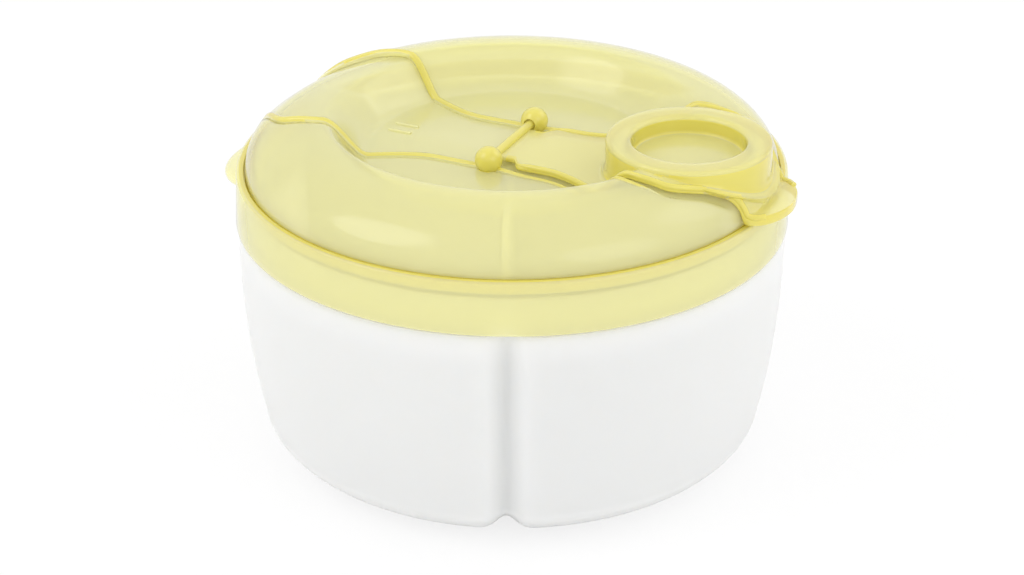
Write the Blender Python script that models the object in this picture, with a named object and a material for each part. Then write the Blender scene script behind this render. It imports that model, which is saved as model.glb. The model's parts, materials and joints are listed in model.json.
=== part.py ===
"""Three-compartment formula dispenser: bowl, lift-out divider, lid ring, turning dome and hinged spout cap.

Metres, +Z up. The origin is the centre of the bowl's flat foot, and +X points along the pouring flap.
"""

import math

import bmesh
import bpy
import numpy as np

# Clearances
GAP = 0.0003  # between pieces that seat on each other
RUN = 0.00045  # under the flap, and round the divider
PIN_PLAY = 0.00035  # round the flap's hinge bar
CAP_PLAY = 0.0005  # between the spout tube and the cap's wall
PLUG_PLAY = 0.0007  # between the cap's plug and the spout tube

# Lid ring
SEAM_R = 0.05305  # inner edge of the ring's top, where the dome rises
SEAM_Z = 0.0600
SKIRT_DROP = 0.0107
RING_OUT_TOP = 0.00145  # the ring's outside beyond SEAM_R, at its top
RING_OUT_LOW = 0.0019  # and at its lower edge
SKIRT_IN = 0.00015  # the skirt's inside, this much within SEAM_R
RING_ROUND = 0.0006
LIP_H = 0.0007
GROOVE_DEEP = 0.0005
LEDGE_DROP = 0.0027  # from the ring's top down to the ledge that carries the dome
LEDGE_T = 0.0011
LEDGE_REACH = 0.0034
TAB_REACH = 0.0082
TAB_HALF_DEG = 14.2
TAB_T = 0.0018
TAB_POWER = 2.2  # fullness of the tab's outline
TAB_SINK = 0.0002  # how far the tab's ends go into the ring

# Dome
DOME_RISE = 0.0104
CREST_R = 0.0373
DISH_R = 0.0285
DISH_RISE = 0.0029  # dish floor above the seam
DOME_WALL = 0.0021
RIM_WALL = 0.00175
CHANNEL_DEEP = 0.0011
CHANNEL_DISH_DEEP = 0.00035
CHANNEL_EDGE = 0.0015
CHANNEL_PLAY = 0.0006  # beside the flap
CHANNEL_FADE = 0.94  # share of the rim's radius where the channel starts to run out
DISH_SHIFT = 0.6  # the underside's S starts this share of the wall nearer the middle

# Spout tube and the cap that closes it
SPOUT_IN_R = 0.0129
SPOUT_WALL = 0.0013
CAP_WALL = 0.0013
CAP_RISE = 0.0013  # the cap's top above the dome's crest
CAP_TOP_T = 0.0016
CAP_ROUND = 0.0012
CAP_ROUND_MID = 0.3  # where the middle of the rounding lies, as a share of it
RECESS_DEEP = 0.0037
RECESS_FLOOR = 0.0012
PLUG_WALL = 0.0013

# Flap and its hinge
FLAP_T = 0.0011
LIP_REACH = 0.00565  # the flap's lip beyond the seam
LIP_HALF_W = 0.0100
LIP_T = 0.0018
LIP_IN = 0.0010  # the sides reach the lip's width this far inside the seam
BELLY_BRIM = 0.0030  # the flap's width on each side of the cap
BELLY_START = 0.3  # shares of the spout's distance where the belly starts,
BELLY_FULL = 0.95  # is full,
BELLY_END = 1.05  # and starts to narrow again
EAR_Y = 0.0107
EAR_R = 0.00275
EAR_PLAY = 0.0006  # between the flap's root and the ears, seen from above
ROOT_IN = 0.00055  # the same, from side to side
ROOT_END = 2.2  # where the root has widened to the waist, in ear radii
WAIST_IN = 0.0005  # the waist's edge, this much within the ears' centres
HINGE_RISE = 0.0016  # the hinge axis above the dish floor
BAR_R = 0.0009
BAR_IN_EAR = 0.0006  # the bar's ends beyond the ears' centres

# Bowl
BOWL_STEP = 0.00045  # the bowl's outside, this much within the skirt's lower edge
BOWL_TAPER = 0.0038
TAPER_POWER = 2.4
CORNER_W = 0.0187
CORNER_H = 0.0093
BOWL_WALL = 0.0018
NECK_WALL = 0.0018
FURROW_DEEP = 0.0025
FURROW_SPREAD = 0.0026
FURROW_TOP_SHARE = 0.7
FURROW_START_R = 0.0140  # under the foot, where the furrows begin
FOOT_FURROW_R = 0.0300
FURROW_FADE = 0.8  # share of the shoulder's height where the furrows start to get shallower
INNER_TOP = 0.9  # share of the shoulder's height up to which the inside follows the outside
FURROW_STEPS = (1.4, 2.8, 4.6, 7.0, 10.5, 15.5, 22.0, 30.0, 40.0, 50.0, 60.0)  # degrees from a furrow

# Divider
FIRST_ARM_DEG = 53.5
ARMS = 3
ARM_T = 0.0014
POST_R = 0.0024
SHOULDER_IN = 0.0040  # each arm draws in under the ledge from this far below the neck's top
LEDGE_UNDER = 0.0010  # and has done so this far below it

TURN = 60  # facets round the lid's pieces
TUBE_TURN = 40
CAP_TURN = 48
POST_TURN = 24
BAR_TURN = 14
EAR_TURN = 16
EAR_RINGS = 9
ACROSS = 11  # points across the flap
PAST = 0.002  # how far a cutting tool runs past what it cuts

YELLOW = (0.87, 0.72, 0.22)
MILKY = (0.83, 0.82, 0.80)
LID_ALPHA = 0.6
LID_ROUGHNESS = 0.2
BOWL_ROUGHNESS = 0.32

# Sizes that follow from the ones above
GROOVE_R = SEAM_R + GROOVE_DEEP
LEDGE_Z = SEAM_Z - LEDGE_DROP
LEDGE_R = SEAM_R - LEDGE_REACH
SKIRT_Z = SEAM_Z - SKIRT_DROP
RING_LOW_R = SEAM_R + RING_OUT_LOW
SKIRT_IN_R = SEAM_R - SKIRT_IN
RIM_R = SEAM_R - GAP
DOME_Z = LEDGE_Z + GAP
DISH_Z = SEAM_Z + DISH_RISE
INNER_RIM_R = RIM_R - RIM_WALL
CREST_Z = SEAM_Z + DOME_RISE
SPOUT_X = CREST_R
SPOUT_OUT_R = SPOUT_IN_R + SPOUT_WALL
CAP_IN_R = SPOUT_OUT_R + CAP_PLAY
CAP_R = CAP_IN_R + CAP_WALL
CAP_TOP_Z = CREST_Z + CAP_RISE
SPOUT_TOP_Z = CAP_TOP_Z - CAP_TOP_T - RUN
PLUG_OUT_R = SPOUT_IN_R - PLUG_PLAY
RECESS_R = PLUG_OUT_R - PLUG_WALL
PLUG_Z = CAP_TOP_Z - RECESS_DEEP - RECESS_FLOOR
BELLY_HALF_W = CAP_R + BELLY_BRIM
WAIST_HALF_W = EAR_Y - WAIST_IN
ROOT_HALF_W = EAR_Y - EAR_R - ROOT_IN
HINGE_Z = DISH_Z + HINGE_RISE
BAR_HALF = EAR_Y + BAR_IN_EAR
FLAP_Z = SEAM_Z + RUN
SHOULDER_Z = SKIRT_Z - GAP
BOWL_TOP_R = RING_LOW_R - BOWL_STEP
BOWL_LOW_R = BOWL_TOP_R - BOWL_TAPER
NECK_R = SKIRT_IN_R - RUN
NECK_TOP_Z = LEDGE_Z - LEDGE_T - GAP
NECK_IN_R = NECK_R - NECK_WALL


def clear_scene():
    for thing in list(bpy.data.objects):
        bpy.data.objects.remove(thing, do_unlink=True)


def make_material(name, colour, roughness, alpha=1.0):
    material = bpy.data.materials.new(name)
    material.use_nodes = True
    shader = material.node_tree.nodes["Principled BSDF"]
    shader.inputs["Base Color"].default_value = (*colour, 1.0)
    shader.inputs["Roughness"].default_value = roughness
    shader.inputs["Metallic"].default_value = 0.0
    shader.inputs["Alpha"].default_value = alpha
    return material


def smooth(low, high, value):
    """0 below low, 1 above high, and an S between them."""
    share = np.clip((value - low) / (high - low), 0.0, 1.0)
    return share * share * (3.0 - 2.0 * share)


def mesh_object(name, points, faces):
    """An object of triangles that all point outwards, so that every Boolean cuts flat faces."""
    mesh = bpy.data.meshes.new(name)
    mesh.from_pydata([tuple(map(float, p)) for p in points], [], faces)
    body = bmesh.new()
    body.from_mesh(mesh)
    bmesh.ops.triangulate(body, faces=body.faces)
    bmesh.ops.recalc_face_normals(body, faces=body.faces)
    body.to_mesh(mesh)
    body.free()
    thing = bpy.data.objects.new(name, mesh)
    bpy.context.scene.collection.objects.link(thing)
    return thing


def ring_solid(name, rings, first_pole=None, last_pole=None):
    """Joins rings of equal length. With two poles it closes at both ends, with none it closes on itself."""
    count = len(rings[0])
    points = [p for ring in rings for p in ring]
    faces = []
    closed = first_pole is None
    for k in range(len(rings) if closed else len(rings) - 1):
        a, b = k * count, ((k + 1) % len(rings)) * count
        faces += [(a + i, a + (i + 1) % count, b + (i + 1) % count, b + i) for i in range(count)]
    if not closed:
        points += [first_pole, last_pole]
        start, end, last = len(points) - 2, len(points) - 1, (len(rings) - 1) * count
        faces += [(start, (i + 1) % count, i) for i in range(count)]
        faces += [(end, last + i, last + (i + 1) % count) for i in range(count)]
    return mesh_object(name, points, faces)


def turned(name, profile, segments=TURN, x=0.0):
    """Turns an outline of (radius, height) about a vertical axis at x. An outline that starts and
    ends on the axis is closed there by poles."""
    angle = np.linspace(0.0, 2.0 * math.pi, segments, endpoint=False)
    on_axis = profile[0][0] == 0.0
    rings = [
        np.stack([x + r * np.cos(angle), r * np.sin(angle), np.full(segments, z)], 1)
        for r, z in (profile[1:-1] if on_axis else profile)
    ]
    if on_axis:
        return ring_solid(name, rings, (x, 0.0, profile[0][1]), (x, 0.0, profile[-1][1]))
    return ring_solid(name, rings)


def boolean(thing, operation, tool):
    """Applies one exact Boolean and removes its tool."""
    step = thing.modifiers.new(operation, "BOOLEAN")
    step.operation = operation
    step.solver = "EXACT"
    step.object = tool
    evaluated = thing.evaluated_get(bpy.context.evaluated_depsgraph_get())
    result = bpy.data.meshes.new_from_object(evaluated)
    thing.modifiers.clear()
    thing.data = result
    bpy.data.objects.remove(tool, do_unlink=True)


def finish(thing, material, sharp_deg=35.0):
    thing.data.materials.clear()
    thing.data.materials.append(material)
    thing.data.shade_smooth()
    thing.data.set_sharp_from_angle(angle=math.radians(sharp_deg))


def belly_half_width(x):
    """Half the width of a waist by the ears, a belly round the cap, and the lip."""
    belly = BELLY_HALF_W - WAIST_HALF_W
    width = WAIST_HALF_W + belly * smooth(BELLY_START * SPOUT_X, BELLY_FULL * SPOUT_X, x)
    return width + (LIP_HALF_W - BELLY_HALF_W) * smooth(BELLY_END * SPOUT_X, SEAM_R - LIP_IN, x)


def flap_half_width(x):
    """Half the flap's width at x, with a narrow root between the ears."""
    return ROOT_HALF_W + (belly_half_width(x) - ROOT_HALF_W) * smooth(EAR_R + EAR_PLAY, ROOT_END * EAR_R, x)


def channel_half_width(x):
    """Half the width of the shallow channel that crosses the dome along X."""
    return belly_half_width(x) + CHANNEL_PLAY


def channel_depth(radius):
    """Shallow in the dish, deeper from the crest outwards."""
    return CHANNEL_DISH_DEEP + (CHANNEL_DEEP - CHANNEL_DISH_DEEP) * smooth(DISH_R, CREST_R, radius)


def dome_height(radius):
    """Top of the dome without its channel: a flat dish, an S up to the crest, and a quarter ellipse
    down to the rim."""
    dish = DISH_Z + (CREST_Z - DISH_Z) * smooth(DISH_R, CREST_R, radius)
    share = np.clip((radius - CREST_R) / (RIM_R - CREST_R), 0.0, 1.0)
    side = SEAM_Z + DOME_RISE * np.sqrt(1.0 - share**2)
    return np.where(radius < CREST_R, dish, side)


def underside_height(radius):
    """Inside of the dome, the same all round, so that the divider clears it as the dome turns."""
    low = DISH_Z - DOME_WALL
    high = CREST_Z - DOME_WALL
    dish = low + (high - low) * smooth(DISH_R - DISH_SHIFT * DOME_WALL, CREST_R, radius)
    share = np.clip((radius - CREST_R) / (INNER_RIM_R - CREST_R), 0.0, 1.0)
    side = SEAM_Z + (high - SEAM_Z) * np.sqrt(1.0 - share**2)
    return np.where(radius < CREST_R, dish, side)


def dome_blank(name, lift=0.0, spread=1.0):
    """The dome as a full solid with its channel. Lifted and spread it is the room that the flap leaves."""
    angle = np.linspace(0.0, 2.0 * math.pi, TURN, endpoint=False)
    rise = np.linspace(0.0, 1.0, 5)
    radii = [
        *(DISH_R * np.linspace(0.25, 1.0, 4)),
        *(DISH_R + (CREST_R - DISH_R) * rise[1:]),
        *(CREST_R + (RIM_R - CREST_R) * np.sin(np.radians(np.arange(12, 91, 13)))),
    ]
    rings = []
    for radius in radii:
        x, y = radius * np.cos(angle), radius * np.sin(angle)
        inside = 1.0 - smooth(0.0, CHANNEL_EDGE, np.abs(y) - channel_half_width(np.abs(x)))
        deep = channel_depth(radius) * (1.0 - smooth(CHANNEL_FADE * RIM_R, RIM_R, radius))
        grow = 1.0 + (spread - 1.0) * smooth(CREST_R, RIM_R, radius)
        rings.append(np.stack([x * grow, y * grow, dome_height(radius) - deep * inside + lift], 1))
    flange_r, flange_z = GROOVE_R - GAP, SEAM_Z - LIP_H - GAP
    for radius, z in [(RIM_R, flange_z), (flange_r, flange_z), (flange_r, DOME_Z)]:
        x, y = radius * spread * np.cos(angle), radius * spread * np.sin(angle)
        rings.append(np.stack([x, y, np.full(TURN, z)], 1))
    top = (0.0, 0.0, DISH_Z - CHANNEL_DISH_DEEP + lift)
    return ring_solid(name, rings, top, (0.0, 0.0, DOME_Z))


def make_dome(material):
    dome = dome_blank("dome")
    tube_z = DISH_Z - 0.5 * DOME_WALL
    tube = [(0.0, tube_z), (SPOUT_OUT_R, tube_z), (SPOUT_OUT_R, SPOUT_TOP_Z), (0.0, SPOUT_TOP_Z)]
    boolean(dome, "UNION", turned("tube", tube, TUBE_TURN, SPOUT_X))
    for side in (-1.0, 1.0):
        bpy.ops.mesh.primitive_uv_sphere_add(
            segments=EAR_TURN, ring_count=EAR_RINGS, radius=EAR_R, location=(0.0, side * EAR_Y, HINGE_Z)
        )
        boolean(dome, "UNION", bpy.context.object)
    radii = [
        *(DISH_R * np.linspace(0.5, 0.94, 2)),
        *np.linspace(DISH_R, CREST_R, 5),
        *(CREST_R + (INNER_RIM_R - CREST_R) * np.sin(np.radians(np.arange(15, 91, 15)))),
    ]
    roof = [(r, float(underside_height(r))) for r in radii]
    below = DOME_Z - PAST
    cavity = [(0.0, DISH_Z - DOME_WALL), *roof, (INNER_RIM_R, below), (0.0, below)]
    boolean(dome, "DIFFERENCE", turned("cavity", cavity))
    hole_z, hole_top = SEAM_Z - GAP, CAP_TOP_Z + PAST
    hole = [(0.0, hole_z), (SPOUT_IN_R, hole_z), (SPOUT_IN_R, hole_top), (0.0, hole_top)]
    boolean(dome, "DIFFERENCE", turned("hole", hole, TUBE_TURN, SPOUT_X))
    boolean(dome, "DIFFERENCE", hinge_bar("bore", BAR_R + PIN_PLAY, BAR_HALF + PIN_PLAY))
    finish(dome, material)


def hinge_bar(name, radius, half_length):
    """A bar on the flap's hinge axis."""
    bpy.ops.mesh.primitive_cylinder_add(
        vertices=BAR_TURN, radius=radius, depth=2.0 * half_length,
        location=(0.0, 0.0, HINGE_Z), rotation=(math.radians(90.0), 0.0, 0.0),
    )
    bar = bpy.context.object
    bar.name = name
    return bar


def make_flap(material):
    """A plate that lies in the channel, with the cap over the spout tube, a lip and the hinge bar."""
    tip_x = SEAM_R + LIP_REACH
    stations = [
        *np.linspace(0.0, 0.9 * DISH_R, 9),
        *np.linspace(DISH_R, CREST_R, 5),
        *np.linspace(CREST_R + 0.0025, SEAM_R, 7),
        *(SEAM_R + LIP_REACH * np.sin(np.radians([25.0, 45.0, 62.0, 78.0]))),
    ]
    across = np.linspace(-1.0, 1.0, ACROSS)
    reach = RIM_R + RUN + FLAP_T - CREST_R
    top_rows, low_rows = [], []
    for x in stations:
        half = float(flap_half_width(x))
        if x > SEAM_R:
            half = LIP_HALF_W * math.sqrt(max(0.0, 1.0 - ((x - SEAM_R) / LIP_REACH) ** 2))
        y = half * across
        radius = np.hypot(x, y)
        share = np.clip((radius - CREST_R) / reach, 0.0, 1.0)
        rise = DOME_RISE - CHANNEL_DEEP + RUN + FLAP_T
        side = SEAM_Z + rise * np.sqrt(1.0 - share**2)
        plate = dome_height(radius) - channel_depth(radius) + RUN + FLAP_T
        top = np.where(radius < CREST_R, plate, side)
        top = np.maximum(top, FLAP_Z + LIP_T)
        top_rows.append(np.stack([np.full(ACROSS, x), y, top], 1))
        low_rows.append(np.stack([np.full(ACROSS, x), y, np.full(ACROSS, FLAP_Z)], 1))
    tips = [(tip_x, 0.0, FLAP_Z + LIP_T), (tip_x, 0.0, FLAP_Z)]
    rows, cols = len(stations), ACROSS
    points = [p for row in top_rows for p in row] + [p for row in low_rows for p in row] + tips
    half_count = rows * cols
    tip_top, tip_low = 2 * half_count, 2 * half_count + 1
    faces = []
    for i in range(rows - 1):
        for j in range(cols - 1):
            a, b = i * cols + j, (i + 1) * cols + j
            faces.append((a, b, b + 1, a + 1))
            faces.append((half_count + a, half_count + a + 1, half_count + b + 1, half_count + b))
        for j in (0, cols - 1):
            a, b = i * cols + j, (i + 1) * cols + j
            faces.append((a, b, half_count + b, half_count + a))
    last = (rows - 1) * cols
    for j in range(cols - 1):
        faces.append((j, j + 1, half_count + j + 1, half_count + j))
        faces.append((last + j, tip_top, last + j + 1))
        faces.append((half_count + last + j, half_count + last + j + 1, tip_low))
    for j in (0, cols - 1):
        faces.append((last + j, tip_top, tip_low, half_count + last + j))
    flap = mesh_object("flap", points, faces)
    well_z, well_top = DOME_Z, CAP_TOP_Z + PAST
    well_r = 0.5 * (CAP_IN_R + CAP_R)
    well = [(0.0, well_z), (well_r, well_z), (well_r, well_top), (0.0, well_top)]
    boolean(flap, "DIFFERENCE", turned("well", well, CAP_TURN, SPOUT_X))
    cap_z, slot_top = FLAP_Z + 0.5 * RUN, CAP_TOP_Z - CAP_TOP_T
    recess_z = CAP_TOP_Z - RECESS_DEEP
    cap = [
        (0.0, PLUG_Z),
        (PLUG_OUT_R, PLUG_Z),
        (PLUG_OUT_R, slot_top),
        (CAP_IN_R, slot_top),
        (CAP_IN_R, cap_z),
        (CAP_R, cap_z),
        (CAP_R, CAP_TOP_Z - CAP_ROUND),
        (CAP_R - CAP_ROUND_MID * CAP_ROUND, CAP_TOP_Z - CAP_ROUND_MID * CAP_ROUND),
        (CAP_R - CAP_ROUND, CAP_TOP_Z),
        (RECESS_R, CAP_TOP_Z),
        (RECESS_R, recess_z),
        (0.0, recess_z),
    ]
    boolean(flap, "UNION", turned("cap", cap, CAP_TURN, SPOUT_X))
    boolean(flap, "UNION", hinge_bar("bar", BAR_R, BAR_HALF))
    room = dome_blank("room", RUN, (RIM_R + RUN) / RIM_R)
    plug_r, plug_z = 0.5 * (PLUG_OUT_R + CAP_IN_R), DOME_Z - PAST
    plug_room = [(0.0, plug_z), (plug_r, plug_z), (plug_r, well_top), (0.0, well_top)]
    boolean(room, "DIFFERENCE", turned("plug_room", plug_room, CAP_TURN, SPOUT_X))
    boolean(flap, "DIFFERENCE", room)
    finish(flap, material)


def make_lid_ring(material):
    """The ring that snaps round the bowl's neck, with the ledge and lip that hold the dome."""
    out_top = SEAM_R + RING_OUT_TOP
    profile = [
        (RING_LOW_R, SKIRT_Z),
        (out_top, SEAM_Z - RING_ROUND),
        (out_top - RING_ROUND, SEAM_Z),
        (SEAM_R, SEAM_Z),
        (SEAM_R, SEAM_Z - LIP_H),
        (GROOVE_R, SEAM_Z - LIP_H),
        (GROOVE_R, LEDGE_Z),
        (LEDGE_R, LEDGE_Z),
        (LEDGE_R, LEDGE_Z - LEDGE_T),
        (SKIRT_IN_R, LEDGE_Z - LEDGE_T),
        (SKIRT_IN_R, SKIRT_Z),
    ]
    ring = turned("lid_ring", profile)
    turn = np.linspace(-1.0, 1.0, 17)
    angle = math.pi + np.radians(TAB_HALF_DEG) * turn
    root = 0.5 * (SKIRT_IN_R + RING_LOW_R)
    edge = RING_LOW_R - TAB_SINK + TAB_REACH * np.sqrt(1.0 - np.abs(turn) ** TAB_POWER)
    outline = [(root * math.cos(a), root * math.sin(a)) for a in angle]
    outline += [(r * math.cos(a), r * math.sin(a)) for r, a in zip(edge[::-1], angle[::-1])]
    count = len(outline)
    low, high = SKIRT_Z, SKIRT_Z + TAB_T
    points = [(x, y, low) for x, y in outline] + [(x, y, high) for x, y in outline]
    faces = [(i, (i + 1) % count, count + (i + 1) % count, count + i) for i in range(count)]
    half = count // 2
    for i in range(half - 1):
        far = count - 1 - i
        faces.append((i, i + 1, far - 1, far))
        faces.append((count + i, count + far, count + far - 1, count + i + 1))
    boolean(ring, "UNION", mesh_object("tab", points, faces))
    finish(ring, material)


def bowl_profile():
    """Outer outline of the bowl from the foot's centre up: (radius, height, inward normal, furrow share)."""
    samples = [(FURROW_START_R, 0.0, (0.0, 1.0))]
    samples += [(r, 0.0, (0.0, 1.0)) for r in np.linspace(FURROW_START_R, BOWL_LOW_R - CORNER_W, 4)[1:]]
    for t in np.radians([20.0, 38.0, 55.0, 72.0, 90.0]):
        r = BOWL_LOW_R - CORNER_W * (1.0 - math.sin(t))
        z = CORNER_H * (1.0 - math.cos(t))
        nr, nz = -math.sin(t) * CORNER_H, math.cos(t) * CORNER_W
        size = math.hypot(nr, nz)
        samples.append((r, z, (nr / size, nz / size)))
    height = SHOULDER_Z - CORNER_H
    for share in (0.8, 0.6, 0.4, 0.2, 0.0):
        r = BOWL_TOP_R - BOWL_TAPER * share**TAPER_POWER
        samples.append((r, SHOULDER_Z - height * share, (-1.0, 0.0)))
    out = []
    for r, z, normal in samples:
        share = float(smooth(FURROW_START_R, FOOT_FURROW_R, r)) if z == 0.0 else 1.0
        share *= 1.0 - (1.0 - FURROW_TOP_SHARE) * float(smooth(FURROW_FADE * SHOULDER_Z, SHOULDER_Z, z))
        out.append((r, z, normal, share))
    return out


def furrow(angle, radius):
    """1 along each arm's direction, falling off as a bell curve round the wall."""
    total = np.zeros_like(angle)
    for k in range(ARMS):
        away = angle - math.radians(FIRST_ARM_DEG + 360.0 / ARMS * k)
        away = (away + math.pi) % (2.0 * math.pi) - math.pi
        total += np.exp(-((away * radius / FURROW_SPREAD) ** 2))
    return total


def make_bowl(material):
    """A lobed bowl with a furrow along each arm of the divider, and a round neck inside the lid ring."""
    side = np.array(FURROW_STEPS)
    sector = np.concatenate([-side[-2::-1], [0.0], side]) * 180.0 / (ARMS * FURROW_STEPS[-1])
    angle = np.radians(np.concatenate([FIRST_ARM_DEG + 360.0 / ARMS * k + sector for k in range(ARMS)]))
    angle = np.sort(angle % (2.0 * math.pi))
    cos, sin = np.cos(angle), np.sin(angle)

    def ring(radius, z):
        return np.stack([radius * cos, radius * sin, z + 0.0 * angle], 1)

    outer, inner = [], []
    for r, z, (nr, nz), share in bowl_profile():
        push = FURROW_DEEP * share * furrow(angle, max(r, FURROW_START_R))
        outer.append(ring(r + nr * push, z + nz * push))
        if z < INNER_TOP * SHOULDER_Z:
            inner.append(ring(r + nr * (push + BOWL_WALL), z + nz * (push + BOWL_WALL)))
    neck_heights = (SHOULDER_Z, NECK_TOP_Z)
    neck = [ring(NECK_R, z) for z in neck_heights] + [ring(NECK_IN_R, z) for z in neck_heights[::-1]]
    rings = outer + neck + inner[::-1]
    bowl = ring_solid("bowl", rings, (0.0, 0.0, 0.0), (0.0, 0.0, BOWL_WALL))
    finish(bowl, material)


def make_divider(material):
    """Three arms round a post. Each arm follows the bowl's inside and the underside of the dome, and
    stays under the cap's plug, which passes over it as the dome turns."""
    outline = [(0.0, BOWL_WALL + GAP)]
    for r, z, (nr, nz), share in bowl_profile():
        if z < INNER_TOP * SHOULDER_Z:
            push = FURROW_DEEP * share + BOWL_WALL + (GAP if z == 0.0 else RUN)
            outline.append((min(r + nr * push, NECK_IN_R - RUN), z + nz * push))
    top_r = LEDGE_R - RUN - GAP
    outline.append((min(outline[-1][0], top_r), NECK_TOP_Z - SHOULDER_IN))
    outline.append((top_r, NECK_TOP_Z - LEDGE_UNDER))
    roof = [*np.linspace(top_r, CREST_R, 5), *np.linspace(CREST_R, DISH_R - DOME_WALL, 6)[1:], 0.0]
    outline += [(float(r), min(float(underside_height(r)), PLUG_Z) - RUN) for r in roof]
    divider = None
    for k in range(ARMS):
        a = math.radians(FIRST_ARM_DEG + 360.0 / ARMS * k)
        along, across = (math.cos(a), math.sin(a)), (-math.sin(a), math.cos(a))
        points = [
            (r * along[0] + s * ARM_T / 2 * across[0], r * along[1] + s * ARM_T / 2 * across[1], z)
            for s in (-1.0, 1.0)
            for r, z in outline
        ]
        count = len(outline)
        faces = [tuple(range(count)), tuple(range(2 * count - 1, count - 1, -1))]
        faces += [(i, (i + 1) % count, count + (i + 1) % count, count + i) for i in range(count)]
        arm = mesh_object("divider", points, faces)
        if divider is None:
            divider = arm
        else:
            boolean(divider, "UNION", arm)
    low, high = BOWL_WALL + GAP, DISH_Z - DOME_WALL - RUN
    post = [(0.0, low), (POST_R, low), (POST_R, high), (0.0, high)]
    boolean(divider, "UNION", turned("post", post, POST_TURN))
    finish(divider, material)


clear_scene()
make_bowl(make_material("bowl_plastic", MILKY, BOWL_ROUGHNESS))
make_divider(make_material("divider_plastic", MILKY, BOWL_ROUGHNESS))
make_lid_ring(make_material("ring_plastic", YELLOW, LID_ROUGHNESS, LID_ALPHA))
make_dome(make_material("dome_plastic", YELLOW, LID_ROUGHNESS, LID_ALPHA))
make_flap(make_material("flap_plastic", YELLOW, LID_ROUGHNESS, LID_ALPHA))
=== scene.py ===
import json
import math

import bpy
import numpy as np
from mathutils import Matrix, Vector


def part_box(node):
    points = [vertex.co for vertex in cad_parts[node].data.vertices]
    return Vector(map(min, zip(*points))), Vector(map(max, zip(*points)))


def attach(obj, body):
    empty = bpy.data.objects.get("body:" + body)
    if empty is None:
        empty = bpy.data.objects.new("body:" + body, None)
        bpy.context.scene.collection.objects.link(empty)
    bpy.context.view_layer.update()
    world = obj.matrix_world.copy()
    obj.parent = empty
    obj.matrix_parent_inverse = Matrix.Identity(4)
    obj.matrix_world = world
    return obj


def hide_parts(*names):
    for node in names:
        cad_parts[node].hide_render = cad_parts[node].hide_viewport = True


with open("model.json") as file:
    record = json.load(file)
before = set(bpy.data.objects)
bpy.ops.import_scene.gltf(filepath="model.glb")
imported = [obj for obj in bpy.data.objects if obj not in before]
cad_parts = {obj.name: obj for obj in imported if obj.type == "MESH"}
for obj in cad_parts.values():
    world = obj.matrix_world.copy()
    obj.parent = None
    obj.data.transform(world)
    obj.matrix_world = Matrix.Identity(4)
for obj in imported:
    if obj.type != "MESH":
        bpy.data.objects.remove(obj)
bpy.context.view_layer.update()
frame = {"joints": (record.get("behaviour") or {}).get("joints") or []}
mm = 0.001

ringLow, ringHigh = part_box("lid_ring")
domeLow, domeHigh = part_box("dome")
flapLow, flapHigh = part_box("flap")
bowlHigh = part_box("bowl")[1]
hingeZ = next(j["pos_m"][2] for j in frame["joints"] if j["name"] == "flap_swing")
seamZ = ringHigh[2]
skirtZ = ringLow[2]


# ---- sizes, all in metres
lid = {
    "seamR": ringHigh[1] - 1.9 * mm,
    "skirtTopOut": 1.45 * mm,
    "skirtLowOut": 1.9 * mm,
    "skirtIn": 0.15 * mm,
    "lipHeight": 0.7 * mm,
    "grooveDeep": 0.5 * mm,
    "ledgeDrop": 2.7 * mm,
    "ledgeThick": 1.1 * mm,
    "ledgeReach": 3.4 * mm,
    "edgeRound": 0.45 * mm,
    "tabReach": 7.95 * mm,
    "tabHalfDeg": 14.2,
    "tabThick": 1.8 * mm,
}
dome = {
    "rise": domeHigh[2] - seamZ,
    "crestR": 37.3 * mm,
    "dishR": 28.5 * mm,
    "dishRise": 2.9 * mm,
    "wall": 2.1 * mm,
    "rimWall": 1.75 * mm,
    "channelDeep": 1.1 * mm,
    "channelDishDeep": 0.35 * mm,
    "channelEdge": 1.5 * mm,
    "channelPlay": 0.6 * mm,
    "ridgeRadius": 0.85 * mm,
    "ridgeSunk": 0.2 * mm,
    "earRadius": 2.75 * mm,
    "earY": 10.7 * mm,
    "ridgeOut": 1.1 * mm,
    "catchFrom": -26.5 * mm,
    "catchTo": -21.5 * mm,
    "catchY": 1.7 * mm,
    "catchRadius": 0.4 * mm,
    "turns": 288,
}
spout = {
    "x": 37.3 * mm,
    "inR": 12.9 * mm,
    "wall": 1.3 * mm,
    "topZ": flapHigh[2] - 2.05 * mm,
    "footIn": 0.4 * mm,
}
flap = {
    "thick": 1.1 * mm,
    "gap": 0.45 * mm,
    "tipX": flapHigh[0],
    "lipHalf": 10.0 * mm,
    "lipThick": 1.8 * mm,
    "waistHalf": 10.2 * mm,
    "bellyHalf": 19.0 * mm,
    "rootHalf": 7.4 * mm,
    "barRadius": 0.88 * mm,
    "barHalf": 11.2 * mm,
    "capR": 16.0 * mm,
    "capWall": 1.3 * mm,
    "capTopZ": flapHigh[2],
    "capTopThick": 1.6 * mm,
    "capRound": 0.85 * mm,
    "recessR": 10.9 * mm,
    "recessDeep": 3.7 * mm,
    "recessFloor": 1.2 * mm,
    "plugWall": 1.3 * mm,
    "flare": 1.6 * mm,
    "beadRadius": 0.62 * mm,
    "beadFrom": 4.5 * mm,
    "beadIn": 0.55 * mm,
    "beadSunk": 0.12 * mm,
}
bowl = {
    "topR": ringHigh[1] - 0.45 * mm,
    "taper": 3.8 * mm,
    "taperPower": 2.4,
    "cornerW": 18.7 * mm,
    "cornerH": 9.3 * mm,
    "wall": 1.8 * mm,
    "neckWall": 1.8 * mm,
    "furrowDeep": 2.5 * mm,
    "furrowSpread": 2.6 * mm,
    "furrowTopShare": 0.7,
    "furrowStartR": 14.0 * mm,
    "furrowFullR": 30.0 * mm,
    "turns": 432,
}
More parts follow.
